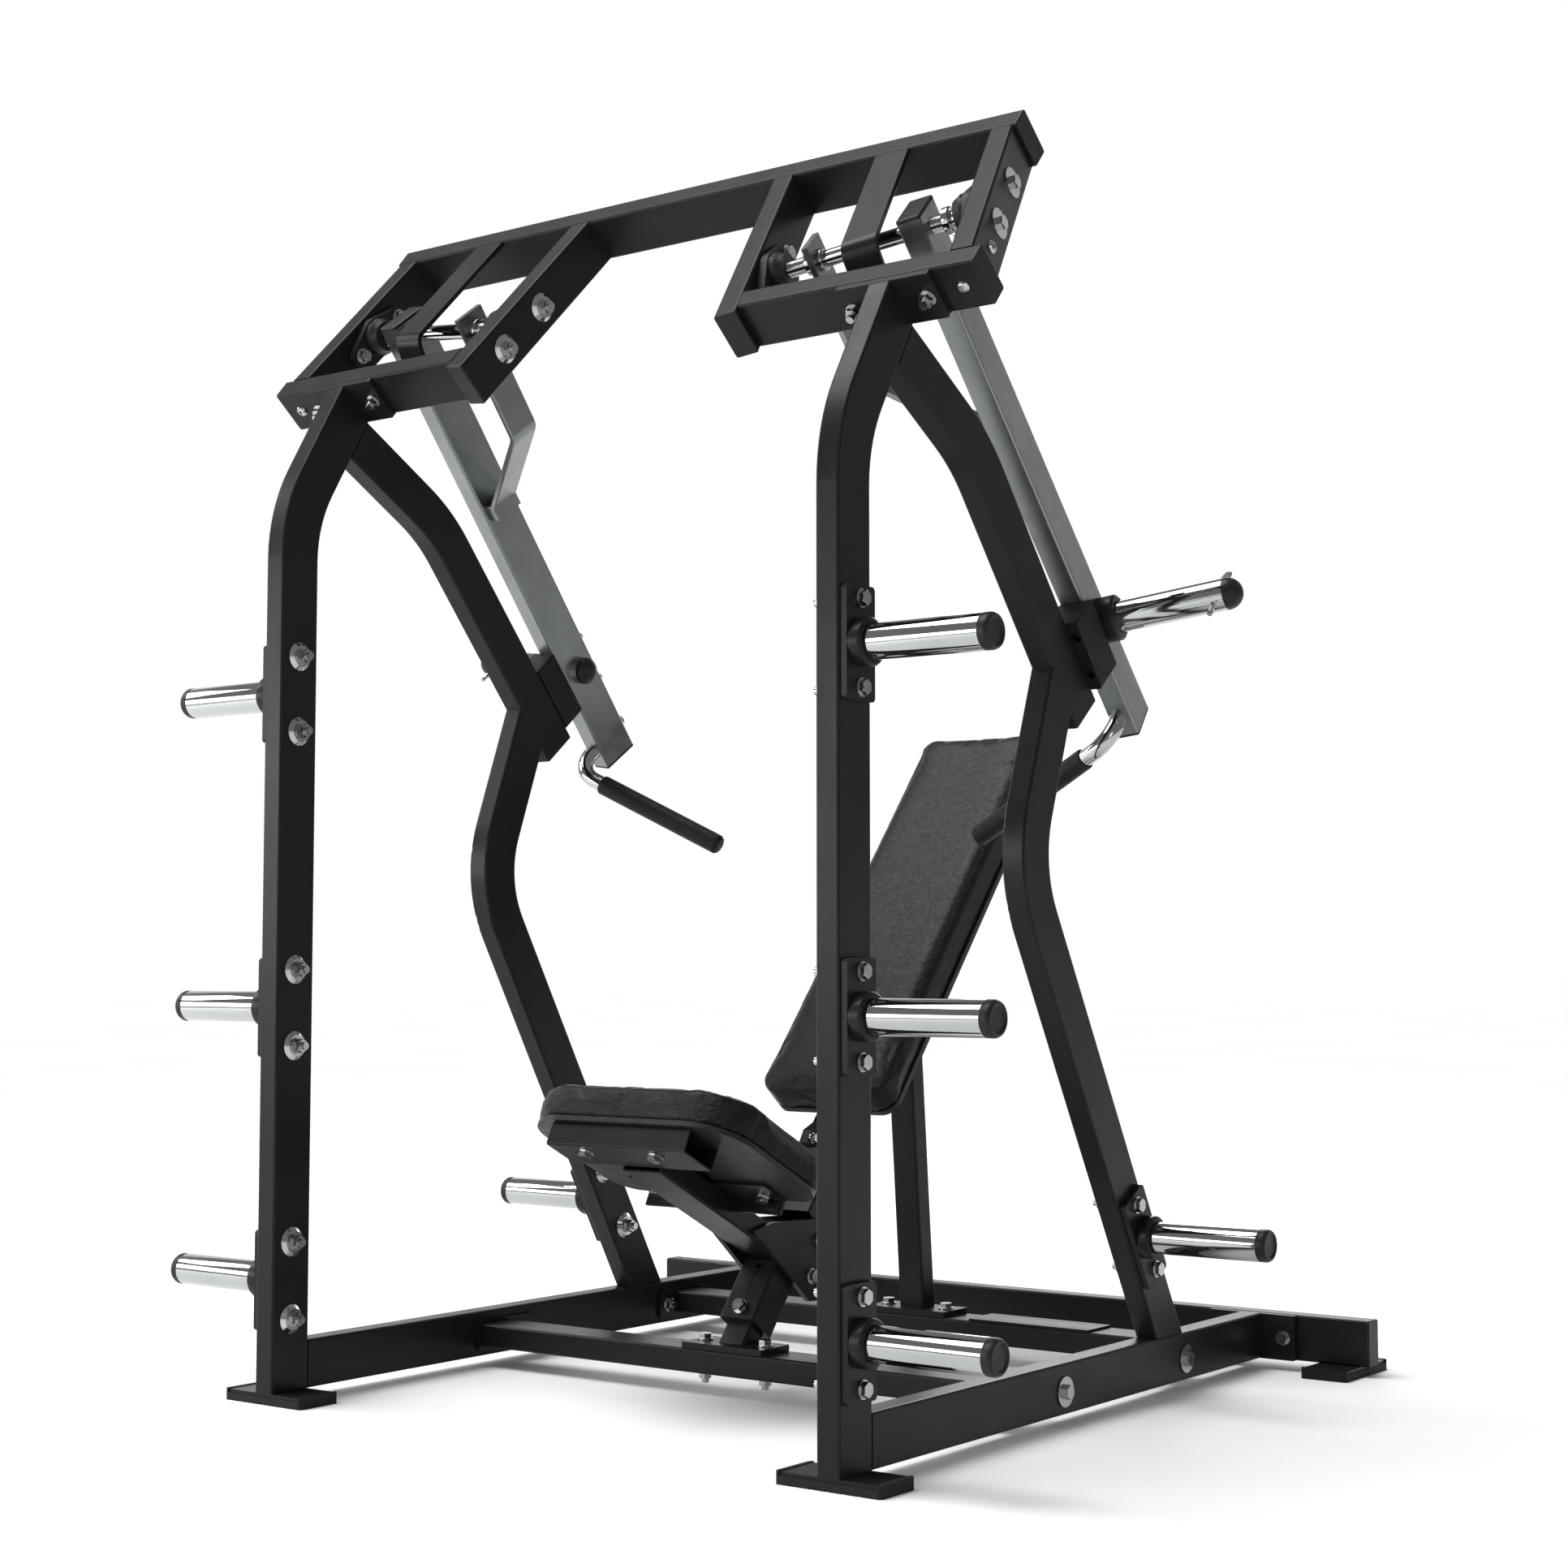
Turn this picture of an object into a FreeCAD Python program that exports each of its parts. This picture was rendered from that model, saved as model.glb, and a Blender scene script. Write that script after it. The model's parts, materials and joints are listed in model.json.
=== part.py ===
import FreeCAD, Part
import math
import os

os.makedirs("parts", exist_ok=True)

# Plate-loaded press machine, millimetres, +Z up, +X to the user's left hand side of the bench.
# The side frames are bent 38 x 76 tube.  Everything is laid out from the front face of the
# uprights (Y = 0) and the floor (Z = 0), then shifted so the origin is under the middle.
DEPTH_CENTRE = 676.5

TUBE_WIDE = 38.0
TUBE_DEEP = 76.0
TUBE_CORNER = 4.0
WALL = 3.0
CAP_THICK = 5.0

# side frames
SIDE_X = 539.0
FLOOR_PLATE_TOP = 17.0
RAIL_TOP = FLOOR_PLATE_TOP + TUBE_DEEP
RAIL_END = 1241.0
BASE_FRONT = 1251.0
BASE_HALF = 743.0

# upper box frame that carries the press arm shafts: a plane tilted 50 degrees
BOX_TILT = math.radians(50.0)
RAIL_LEAN = math.radians(10.0)
BOX_Y = 130.9
BOX_Z = 1634.0
BOX_HEIGHT = 342.0
INNER_RAIL_X = 248.7
OUTER_RAIL_A = 387.0
SHAFT_T = 124.0
SHAFT_N = 39.0
SHAFT_R = 12.5

# press arm, measured along its length from the shaft
ARM_IN = 274.0
ARM_OUT = 312.0
ARM_TOP = -28.0
ARM_END = 878.0
SLEEVE_AT = 690.0
SLEEVE_OFFSET = -3.0
SLEEVE_R = 25.0
SLEEVE_END = 518.0
COLLAR_R = 36.5
LOCK_PIN_A = 500.0
LOCK_PIN_R = 4.5

# fasteners
BOLT_R = 6.0
HOLE_EXTRA = 0.25
HEX_FLATS = 19.0
HEAD_THICK = 8.0
NUT_THICK = 10.0
WASHER_R = 13.0
WASHER_THICK = 2.5

# weight storage horns
HORN_END = 207.0
HORN_PLATE = 10.0
HORN_BOLT_REACH = 60.0

# bench
SEAT_TILT = math.radians(27.0)
SEAT_FRONT_Y = 205.5
SEAT_FRONT_Z = 458.0
SEAT_HALF = 216.0
SEAT_THICK = 58.0
SEAT_LENGTH = 308.0
PAD_EDGE = 9.0
POST_LEAN = math.radians(38.0)
BACK_LEAN = math.radians(39.9)
BACK_FRONT_Y = 716.9
BACK_FRONT_Z = 466.9
BACK_HALF = 137.0
BACK_LENGTH = 849.0
BACK_THICK = 60.0

X = FreeCAD.Vector(1, 0, 0)
Y = FreeCAD.Vector(0, 1, 0)
Z = FreeCAD.Vector(0, 0, 1)

nodes = {}
drills = []


def vec(x, y, z):
    return FreeCAD.Vector(x, y, z)


def frame(origin, x_axis, y_axis):
    """Placement whose local x and y run along the given world directions."""
    z_axis = x_axis.cross(y_axis)
    rows = []
    for row in zip(x_axis, y_axis, z_axis, origin):
        rows.extend(row)
    rows.extend([0, 0, 0, 1])
    return FreeCAD.Placement(FreeCAD.Matrix(*rows))


def aim(point, axis):
    """Placement with its origin at the point and local z along the axis."""
    return FreeCAD.Placement(point, FreeCAD.Rotation(Z, axis))


def placed(shape, placement):
    moved = shape.copy()
    moved.Placement = placement.multiply(moved.Placement)
    return moved


def mirrored(shape):
    return shape.mirror(vec(0, 0, 0), X)


def both_sides(shapes):
    return list(shapes) + [mirrored(shape) for shape in shapes]


def box(x0, x1, y0, y1, z0, z1):
    return Part.makeBox(x1 - x0, y1 - y0, z1 - z0, vec(x0, y0, z0))


def rounded_box(x0, x1, y0, y1, z0, z1, radius, axis):
    """Box with the four edges along one axis rounded."""
    solid = box(x0, x1, y0, y1, z0, z1)
    edges = [edge for edge in solid.Edges if abs(edge.tangentAt(0).dot(axis)) > 0.99]
    return solid.makeFillet(radius, edges)


def rod(point, axis, radius, length):
    return Part.makeCylinder(radius, length, point, axis)


def ring(point, axis, outer, inner, length):
    return rod(point, axis, outer, length).cut(rod(point, axis, inner, length))


def prism(points, thickness):
    """Flat polygon swept through the given vector."""
    return Part.Face(Part.makePolygon(points + [points[0]])).extrude(thickness)


def turned(profile, point, axis):
    """Closed (radius, height) profile turned about the axis through the point."""
    corners = [vec(radius, 0, height) for radius, height in profile]
    face = Part.Face(Part.makePolygon(corners + [corners[0]]))
    return placed(face.revolve(vec(0, 0, 0), Z, 360), aim(point, axis))


def section(centre, across, normal, width, depth, corner):
    """Rounded rectangle wire, width along `across` and depth along `normal`."""
    w = width / 2.0
    d = depth / 2.0
    diag = corner * (1.0 - math.sqrt(0.5))
    edges = []
    turns = [(1, 1), (-1, 1), (-1, -1), (1, -1)]
    for index, (su, sv) in enumerate(turns):
        on_side = centre + across * (su * w) + normal * (sv * (d - corner))
        on_arc = centre + across * (su * (w - diag)) + normal * (sv * (d - diag))
        on_top = centre + across * (su * (w - corner)) + normal * (sv * d)
        first, last = (on_side, on_top) if su * sv > 0 else (on_top, on_side)
        edges.append(Part.Arc(first, on_arc, last).toShape())
        nu, nv = turns[(index + 1) % 4]
        if nu * nv > 0:
            following = centre + across * (nu * w) + normal * (nv * (d - corner))
        else:
            following = centre + across * (nu * (w - corner)) + normal * (nv * d)
        edges.append(Part.makeLine(last, following))
    return Part.Wire(edges)


def bent_path(points, bend):
    """Wire through the points with every corner rounded to the bend radius."""
    edges = []
    start = points[0]
    for before, corner, after in zip(points, points[1:], points[2:]):
        into = (corner - before).normalize()
        out = (after - corner).normalize()
        half = into.getAngle(out) / 2.0
        reach = bend * math.tan(half)
        inward = (out - into).normalize()
        middle = corner + inward * (bend / math.cos(half) - bend)
        arc_start = corner - into * reach
        arc_end = corner + out * reach
        edges.append(Part.makeLine(start, arc_start))
        edges.append(Part.Arc(arc_start, middle, arc_end).toShape())
        start = arc_end
    edges.append(Part.makeLine(start, points[-1]))
    return Part.Wire(edges)


def swept(points, bend, wire):
    if len(points) == 2:
        return Part.Face(wire).extrude(points[1] - points[0])
    return bent_path(points, bend).makePipeShell([wire], True, False)


def tube(points, across, width=TUBE_WIDE, depth=TUBE_DEEP, bend=0.0, corner=TUBE_CORNER):
    """Hollow rounded tube along the centre line, width measured along `across`."""
    normal = (points[1] - points[0]).normalize().cross(across)
    outer = swept(points, bend, section(points[0], across, normal, width, depth, corner))
    inner_wire = section(points[0], across, normal, width - 2 * WALL, depth - 2 * WALL, 1.5)
    return outer.cut(swept(points, bend, inner_wire))


def trimmed(shape, point, normal):
    """Shape with everything beyond the plane, on the side the normal points to, removed."""
    block = box(-1500, 1500, -1500, 1500, 0, 3000)
    return shape.cut(placed(block, aim(point, normal)))


def hexagon(flats, height):
    radius = flats / math.sqrt(3.0)
    angles = [math.radians(60 * index) for index in range(6)]
    corners = [vec(radius * math.cos(angle), radius * math.sin(angle), 0) for angle in angles]
    blunt = Part.makeCone(radius + height * 0.6, radius * 0.93, height)
    return prism(corners, vec(0, 0, height)).common(blunt)


def bolt(seat, axis, grip, washer=WASHER_R, radius=BOLT_R, flats=HEX_FLATS, tail=7.0):
    """Through bolt: head and washer outside the seat, washer and nut past the grip length."""
    head = hexagon(flats, HEAD_THICK)
    head.translate(vec(0, 0, WASHER_THICK))
    nut = hexagon(flats, NUT_THICK)
    nut.rotate(vec(0, 0, 0), X, 180)
    nut.translate(vec(0, 0, -grip - WASHER_THICK))
    far = grip + WASHER_THICK + NUT_THICK + tail
    pieces = [
        rod(vec(0, 0, 0), Z, washer, WASHER_THICK),
        rod(vec(0, 0, -grip - WASHER_THICK), Z, WASHER_R, WASHER_THICK),
        nut,
        rod(vec(0, 0, -far), Z, radius, far + WASHER_THICK),
    ]
    placement = aim(seat, axis)
    drills.append(rod(seat + axis * 0.01, -axis, radius + HOLE_EXTRA, grip + 0.02))
    return placed(head.multiFuse(pieces), placement)


def screw(seat, axis, length, flats=HEX_FLATS, radius=BOLT_R):
    """Hex screw with washer, shank running inwards from the seat."""
    head = hexagon(flats, HEAD_THICK)
    head.translate(vec(0, 0, WASHER_THICK))
    washer = rod(vec(0, 0, 0), Z, flats * 0.68, WASHER_THICK)
    shank = rod(vec(0, 0, -length), Z, radius, length + WASHER_THICK)
    drills.append(rod(seat + axis * 0.01, -axis, radius + HOLE_EXTRA, length + 0.3))
    return placed(head.multiFuse([washer, shank]), aim(seat, axis))


def button_screw(seat, axis, length):
    """Low domed socket screw."""
    profile = [(0, 2.5), (3.4, 2.5), (3.4, 5.2), (5, 5), (8, 3.4), (9.6, 1.2), (9.8, 0), (4, 0),
               (4, -length), (0, -length)]
    drills.append(rod(seat + axis * 0.01, -axis, 4.0 + HOLE_EXTRA, length + 0.3))
    return turned(profile, seat, axis)


def dished_washer(seat, axis, radius=23.0, height=7.0):
    """Conical cup washer that spreads the bolt load on a tube wall."""
    hole = BOLT_R + HOLE_EXTRA
    profile = [(hole, 0), (radius, 0), (radius, 1.5), (radius - 6, height), (hole, height)]
    return turned(profile, seat, axis)


def dome(seat, axis, radius, height):
    """Round end plug with a domed face."""
    profile = [(0, 0), (radius, 0), (radius, height * 0.45), (radius * 0.86, height * 0.82),
               (radius * 0.55, height), (0, height)]
    return turned(profile, seat, axis)


def add(name, shapes):
    nodes[name] = Part.makeCompound(list(shapes))


def add_pair(name, shape):
    nodes[name + "_R"] = shape
    nodes[name + "_L"] = mirrored(shape)


# ---------------------------------------------------------------- reference frames
box_up = vec(0, math.cos(BOX_TILT), math.sin(BOX_TILT))
box_back = vec(0, math.sin(BOX_TILT), -math.cos(BOX_TILT))
box_origin = vec(0, BOX_Y, BOX_Z)
box_frame = frame(box_origin, X, box_back)

rail_dir = X * -math.sin(RAIL_LEAN) + box_up * math.cos(RAIL_LEAN)
shaft_dir = box_back.cross(rail_dir)
rail_origin = box_origin + X * INNER_RAIL_X
rail_frame = frame(rail_origin, shaft_dir, box_back)
shaft_point = rail_origin + rail_dir * SHAFT_T + box_back * SHAFT_N

arm_down = vec(0.03015, 0.64448, -0.76402).normalize()
arm_front = arm_down.cross(shaft_dir).normalize()
arm_frame = frame(shaft_point, shaft_dir, arm_front)


def on_rail(a, n, t):
    return rail_frame.multVec(vec(a, n, t))


def on_arm(a, front, along):
    return arm_frame.multVec(vec(a, front, along))


def in_box(x, n, s):
    return box_frame.multVec(vec(x, n, s))


# ---------------------------------------------------------------- side frames
UPRIGHT_CORNER = vec(SIDE_X, 38.0, 1399.8)
UPRIGHT_TOP_DIR = vec(0, 0.5, math.sqrt(0.75))
UPPER_LEG_CORNER = vec(SIDE_X, 359.3, 1430.5)
UPPER_LEG_DROP = vec(0, 0.6428, -0.7660).normalize()
UPPER_LEG_DROP_LENGTH = 470.0
UPPER_LEG_REAR = vec(0, 0.7660, 0.6428).normalize()
LOWER_LEG_CORNER = vec(SIDE_X, 490.3, 826.8)
LOWER_LEG_FOOT_DIR = vec(0, 0.5, -math.sqrt(0.75))


def make_upright():
    top = UPRIGHT_CORNER + UPRIGHT_TOP_DIR * 330.0
    path = [vec(SIDE_X, 38.0, FLOOR_PLATE_TOP), UPRIGHT_CORNER, top]
    shape = tube(path, X, bend=260.0)
    return trimmed(shape, in_box(SIDE_X, 0, -10), box_up)


def make_upper_leg():
    start = UPPER_LEG_CORNER + vec(0, -math.sqrt(0.75), 0.5) * 224.9
    end = UPPER_LEG_CORNER + UPPER_LEG_DROP * UPPER_LEG_DROP_LENGTH
    return tube([start, UPPER_LEG_CORNER, end], X, bend=300.0)


def make_lower_leg():
    top = LOWER_LEG_CORNER + vec(0, 0.3420, 0.9397) * 380.0
    foot = LOWER_LEG_CORNER + LOWER_LEG_FOOT_DIR * 900.0
    shape = tube([foot, LOWER_LEG_CORNER, top], X, bend=200.0)
    shape = trimmed(shape, vec(SIDE_X, 0, RAIL_TOP), Z * -1)
    under_face = UPPER_LEG_CORNER - UPPER_LEG_REAR * (TUBE_DEEP / 2)
    return trimmed(shape, under_face, UPPER_LEG_REAR)


def make_side_rail():
    middle = (FLOOR_PLATE_TOP + RAIL_TOP) / 2
    return tube([vec(SIDE_X, TUBE_DEEP, middle), vec(SIDE_X, RAIL_END, middle)], X)


def make_base_tube():
    y = BASE_FRONT + TUBE_WIDE / 2
    z = FLOOR_PLATE_TOP + TUBE_DEEP / 2
    return tube([vec(-BASE_HALF, y, z), vec(BASE_HALF, y, z)], Y)


def make_cross_tube(y):
    half = SIDE_X - TUBE_WIDE / 2 - 6.0
    z = 34.0 + TUBE_WIDE / 2
    return tube([vec(-half, y, z), vec(half, y, z)], Z)


# ---------------------------------------------------------------- joint plates and feet
def cross_end_plate(y0, y1, bolt_y):
    plate = rounded_box(514.0, 520.0, y0, y1, 28.0, 78.0, 5.0, X)
    fixing = bolt(vec(558.0, bolt_y, 51.0), X, 44.0, washer=22.5)
    return plate, fixing


def post_plate(y):
    plate = rounded_box(-80.0, 80.0, y - 38, y + 38, 72.0, 82.0, 3.0, Z)
    fixings = [bolt(vec(side * 60.0, y, 82.0), Z, 48.0) for side in (-1, 1)]
    return plate, fixings


def rear_flange():
    plate = rounded_box(459.0, 619.0, RAIL_END, BASE_FRONT, FLOOR_PLATE_TOP, 92.0, 3.0, Y)
    fixings = [bolt(vec(SIDE_X + side * 60.0, RAIL_END, 54.0), Y * -1, 48.0) for side in (-1, 1)]
    return plate, fixings


def head_flange():
    plate = rounded_box(461.0, 620.0, 0.0, TUBE_DEEP, -10.0, 0.0, 4.0, Z)
    fixings = []
    for side in (-1, 1):
        seat = in_box(540.5 + side * 61.0, 38.0, 38.0)
        fixings.append(bolt(seat, box_up, 48.0, tail=9.0))
    return placed(plate, box_frame), fixings


def foot(x, y, turned_round):
    """Rubber pad with two end lips and a steel plate held between them."""
    pad = rounded_box(-85.0, 85.0, -40.5, 40.5, 0.0, 18.0, 6.0, Z)
    pad = pad.cut(box(-78.0, 78.0, -60.0, 60.0, 12.0, 30.0))
    for groove in (-50.0, -25.0, 0.0, 25.0, 50.0):
        pad = pad.cut(box(groove - 4, groove + 4, -60.0, 60.0, -1.0, 2.0))
    plate = box(-77.7, 77.7, -38.0, 38.0, 12.0, FLOOR_PLATE_TOP)
    angle = 90 if turned_round else 0
    placement = FreeCAD.Placement(vec(x, y, 0), FreeCAD.Rotation(Z, angle))
    return placed(pad, placement), placed(plate, placement)


# ---------------------------------------------------------------- upper box frame
def make_top_beam():
    return tube([in_box(-621.0, 38.0, 361.0), in_box(621.0, 38.0, 361.0)], box_up)


def make_rail(a_in, low_s):
    middle = a_in + TUBE_WIDE / 2
    ends = [on_rail(middle, 38.0, -120.0), on_rail(middle, 38.0, 420.0)]
    shape = tube(ends, shaft_dir)
    shape = trimmed(shape, in_box(0, 0, BOX_HEIGHT), box_up)
    if low_s is None:
        return trimmed(shape, on_rail(0, 0, -14.0), rail_dir * -1)
    return trimmed(shape, in_box(0, 0, low_s), box_up * -1)


def make_box_front_tube():
    shape = tube([in_box(180.0, 38.0, 19.0), in_box(684.0, 38.0, 19.0)], box_up)
    return trimmed(shape, on_rail(TUBE_WIDE, 0, 0), shaft_dir * -1)


def end_cap(centre, axis, across):
    """Plastic plug closing a 38 x 76 tube end."""
    normal = axis.cross(across)
    wire = section(centre, across, normal, TUBE_WIDE, TUBE_DEEP, TUBE_CORNER)
    plug = section(centre, across, normal, TUBE_WIDE - 2 * WALL, TUBE_DEEP - 2 * WALL, 1.5)
    flange = Part.Face(wire).extrude(axis * CAP_THICK)
    edges = [edge for edge in flange.Edges if (edge.CenterOfMass - centre).dot(axis) > CAP_THICK - 0.1]
    flange = flange.makeFillet(2.0, edges)
    return flange.fuse(Part.Face(plug).extrude(axis * -12.0))


def make_guard_strap():
    """Flat strap from under the top beam, back beneath the shaft and down to the front tube."""
    width = 58.0
    thick = 8.0
    path = [vec(0, 4, 375), vec(0, 4, 106), vec(0, 62, 86), vec(0, 62, 10)]
    strip = swept(path, 20.0, section(path[0], X, Y, width, thick, 1.0))
    strip = placed(strip, frame(box_origin + X * 470.0, shaft_dir, box_back))
    strip = trimmed(strip, in_box(0, 0, BOX_HEIGHT), box_up)
    return trimmed(strip, in_box(0, 0, TUBE_WIDE), box_up * -1)


# ---------------------------------------------------------------- bearings
def bearing_housing(a_face, direction):
    """Two-bolt oval flange bearing on a rail, bore open for the shaft."""
    spread = 52.0
    waist = 33.0
    ear = 17.0
    thick = 13.0
    centre = vec(0, 0, 0)
    discs = [rod(vec(0, side * spread, 0), Z, ear, thick) for side in (-1, 1)]
    half = math.acos((waist - ear) / spread)
    right_up = []
    for radius, shift in ((waist, 0), (ear, spread)):
        right_up.append(vec(radius * math.sin(half), shift + radius * math.cos(half), 0))
    outline = right_up + [vec(-point.x, point.y, 0) for point in reversed(right_up)]
    outline += [vec(-point.x, -point.y, 0) for point in outline]
    body = rod(centre, Z, waist, thick).multiFuse(discs + [prism(outline, vec(0, 0, thick))])
    body = body.fuse(turned([(0, 0), (31, 0), (31, 22), (28, 27), (25, 34), (0, 34)], centre, Z))
    body = body.cut(rod(vec(0, 0, -1), Z, SHAFT_R + 0.05, 60.0))
    body = body.cut(rod(vec(-32.0 * direction, 0, 17.5), X * direction, 2.5, 7.0))
    return placed(body, frame(on_rail(a_face, SHAFT_N, SHAFT_T), box_back * direction, rail_dir))


# ---------------------------------------------------------------- press arm
def make_arm_tube():
    middle = (ARM_IN + ARM_OUT) / 2
    shape = tube([on_arm(middle, 0, ARM_TOP), on_arm(middle, 0, ARM_END)], shaft_dir)
    shape = shape.cut(rod(on_arm(ARM_IN - 5, 0, 0), shaft_dir, SHAFT_R + 0.05, 60.0))
    sleeve_hole = rod(on_arm(ARM_IN - 5, SLEEVE_OFFSET, SLEEVE_AT), shaft_dir, 24.02, 60.0)
    return shape.cut(sleeve_hole)


def make_brace():
    """Flat brace from the shaft down, bending out to meet the inside of the arm."""
    path = [vec(120, 0, -33), vec(120, 0, 192), vec(269, 0, 336)]
    strip = swept(path, 22.0, section(path[0], X, Y, 10.0, 58.0, 2.0))
    strip = strip.cut(rod(vec(100, 0, 0), X, SHAFT_R + 0.05, 40.0))
    shape = placed(strip, arm_frame)
    tail = placed(box(255, 274, -29, 29, 322, 350), arm_frame)
    return trimmed(shape.fuse(tail).removeSplitter(), on_arm(ARM_IN, 0, 0), shaft_dir)


def make_shaft():
    shaft = rod(on_arm(39, 0, 0), shaft_dir, SHAFT_R, 347.0)
    locks = [
        ring(on_arm(104, 0, 0), shaft_dir, 20.0, SHAFT_R, 11.0),
        ring(on_arm(125, 0, 0), shaft_dir, 17.0, SHAFT_R, 6.0),
        ring(on_arm(331, 0, 0), shaft_dir, 20.0, SHAFT_R, 11.0),
    ]
    return shaft.multiFuse(locks)


def make_sleeve():
    inner = rod(on_arm(262, SLEEVE_OFFSET, SLEEVE_AT), shaft_dir, 24.0, 50.0)
    outer = rod(on_arm(ARM_OUT, SLEEVE_OFFSET, SLEEVE_AT), shaft_dir, SLEEVE_R, SLEEVE_END - ARM_OUT)
    pin_hole = rod(on_arm(LOCK_PIN_A, 60, SLEEVE_AT), arm_front * -1, LOCK_PIN_R + 0.08, 120.0)
    return inner.fuse(outer).cut(pin_hole)


def make_sleeve_collar():
    start = on_arm(ARM_OUT, SLEEVE_OFFSET, SLEEVE_AT)
    profile = [(25.02, 0), (COLLAR_R - 2, 0), (COLLAR_R, 2), (COLLAR_R, 28), (COLLAR_R - 2, 30), (25.02, 30)]
    return turned(profile, start, shaft_dir)


def make_lock_pin():
    """Cross pin through the sleeve: grooved tip in front, collar and bent finger leaf behind."""
    tip = on_arm(LOCK_PIN_A, 50, SLEEVE_AT)
    profile = [(0, 0), (3, 0), (LOCK_PIN_R, 2), (LOCK_PIN_R, 5.5), (3.4, 6.5), (3.4, 8.5),
               (LOCK_PIN_R, 9.5), (LOCK_PIN_R, 86), (0, 86)]
    pin = turned(profile, tip, arm_front * -1)
    collar = rod(on_arm(LOCK_PIN_A, -28.5, SLEEVE_AT), arm_front * -1, 9.0, 7.0)
    outline = [(-9, -35.4), (10, -35.4), (14, -66), (5, -69)]
    leaf = prism([on_arm(LOCK_PIN_A + a, front, SLEEVE_AT - 2) for a, front in outline], arm_down * 4)
    return pin.multiFuse([collar, leaf])


def make_handle():
    """Handle leaves the arm's front face and turns in across the bench."""
    corner = vec(291, 93.5, 847)
    end = corner + vec(-0.903, -0.015, 0.429).normalize() * 316.0
    direction = vec(0, 55.5, 4).normalize()
    start = corner - direction * 64.0
    wire = Part.Wire(Part.makeCircle(14.0, start, direction))
    bar = bent_path([start, corner, end], 45.0).makePipeShell([wire], True, False)
    bar = trimmed(placed(bar, arm_frame), on_arm(0, TUBE_DEEP / 2, 0), arm_front * -1)
    grip_dir = (end - corner).normalize()
    grip_start = corner + grip_dir * 62.0
    grip = ring(grip_start, grip_dir, 17.5, 14.1, 254.0)
    plug = rod(end, grip_dir, 17.5, 10.0)
    plug = plug.makeFillet(8.0, [edge for edge in plug.Edges if edge.CenterOfMass.distanceToPoint(end) > 9])
    return bar, placed(grip.fuse(plug), arm_frame)


# ---------------------------------------------------------------- stop block
def make_stop_block():
    block_frame = frame(vec(0, 0, 0), X, UPPER_LEG_REAR * -1)
    block = rounded_box(519.0, 575.0, -1330.0, -1233.3, -533.0, -410.0, 4.0, Y)
    for t in (-505.0, -438.0):
        block = block.cut(rod(vec(564.0, -1233.0, t), Y * -1, 8.0, 12.0))
    block = placed(block, block_frame)
    return trimmed(block, on_arm(0, 38.3, 0), arm_front * -1)


# ---------------------------------------------------------------- storage horns
def horn_set(y, z, up_dir):
    """Storage horn parts in the order bracket, collar, horn, cap, bolts, dished washers."""
    origin = vec(SIDE_X + TUBE_WIDE / 2, y, z)
    placement = frame(origin, up_dir, X.cross(up_dir))
    plate = rounded_box(-78, 78, -33.5, 33.5, 0, HORN_PLATE, 6.0, Z)
    collar = turned([(24.45, 10), (33.5, 10), (33.5, 27), (30.5, 30), (24.45, 30)], vec(0, 0, 0), Z)
    horn = turned([(21, 10), (24.4, 10), (24.4, 31), (25, 31), (25, HORN_END), (21, HORN_END)],
                  vec(0, 0, 0), Z)
    cap = turned([(0, 195), (20.9, 195), (20.9, HORN_END), (25, HORN_END), (25, 218), (22, 222),
                  (17, 222), (17, 219), (0, 219)], vec(0, 0, 0), Z)
    parts = [placed(shape, placement) for shape in (plate, collar, horn, cap)]
    bolts = []
    cups = []
    for side in (-1, 1):
        seat = origin + X * HORN_PLATE + up_dir * (side * HORN_BOLT_REACH)
        bolts.append(bolt(seat, X, HORN_PLATE + TUBE_WIDE + 7.0))
        cups.append(dished_washer(seat - X * (HORN_PLATE + TUBE_WIDE), X * -1))
    return parts, bolts, cups


# ---------------------------------------------------------------- bench
seat_down = vec(0, math.cos(SEAT_TILT), -math.sin(SEAT_TILT))
seat_up = vec(0, math.sin(SEAT_TILT), math.cos(SEAT_TILT))
seat_frame = frame(vec(0, SEAT_FRONT_Y, SEAT_FRONT_Z), X, seat_down)
post_up = vec(0, math.sin(POST_LEAN), math.cos(POST_LEAN))
post_back = vec(0, math.cos(POST_LEAN), -math.sin(POST_LEAN))
post_origin = vec(0, 505.7, 121.0)
back_up = vec(0, math.sin(BACK_LEAN), math.cos(BACK_LEAN))
back_front = vec(0, -math.cos(BACK_LEAN), math.sin(BACK_LEAN))
LUG_OUTLINE = [(688, 388), (700, 408), (780, 440), (790, 400), (705, 378)]
back_frame = frame(vec(0, BACK_FRONT_Y, BACK_FRONT_Z), X, back_up)


def soft_outline(half, y0, y1, low_corner, high_corner):
    """Pad outline in a flat plane with rounded corners."""
    points = [vec(-half, y0, 0), vec(-half, y1, 0), vec(half, y1, 0), vec(half, y0, 0)]
    radii = [low_corner, high_corner, high_corner, low_corner]
    edges = []
    joins = []
    for index, corner in enumerate(points):
        before = (points[index - 1] - corner).normalize()
        after = (points[(index + 1) % 4] - corner).normalize()
        half = before.getAngle(after) / 2
        reach = radii[index] / math.tan(half)
        inward = (before + after).normalize()
        middle = corner + inward * (radii[index] / math.sin(half) - radii[index])
        joins.append((corner + before * reach, middle, corner + after * reach))
    for index, (first, middle, last) in enumerate(joins):
        edges.append(Part.Arc(first, middle, last).toShape())
        edges.append(Part.makeLine(last, joins[(index + 1) % 4][0]))
    return Part.Wire(edges)


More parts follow.
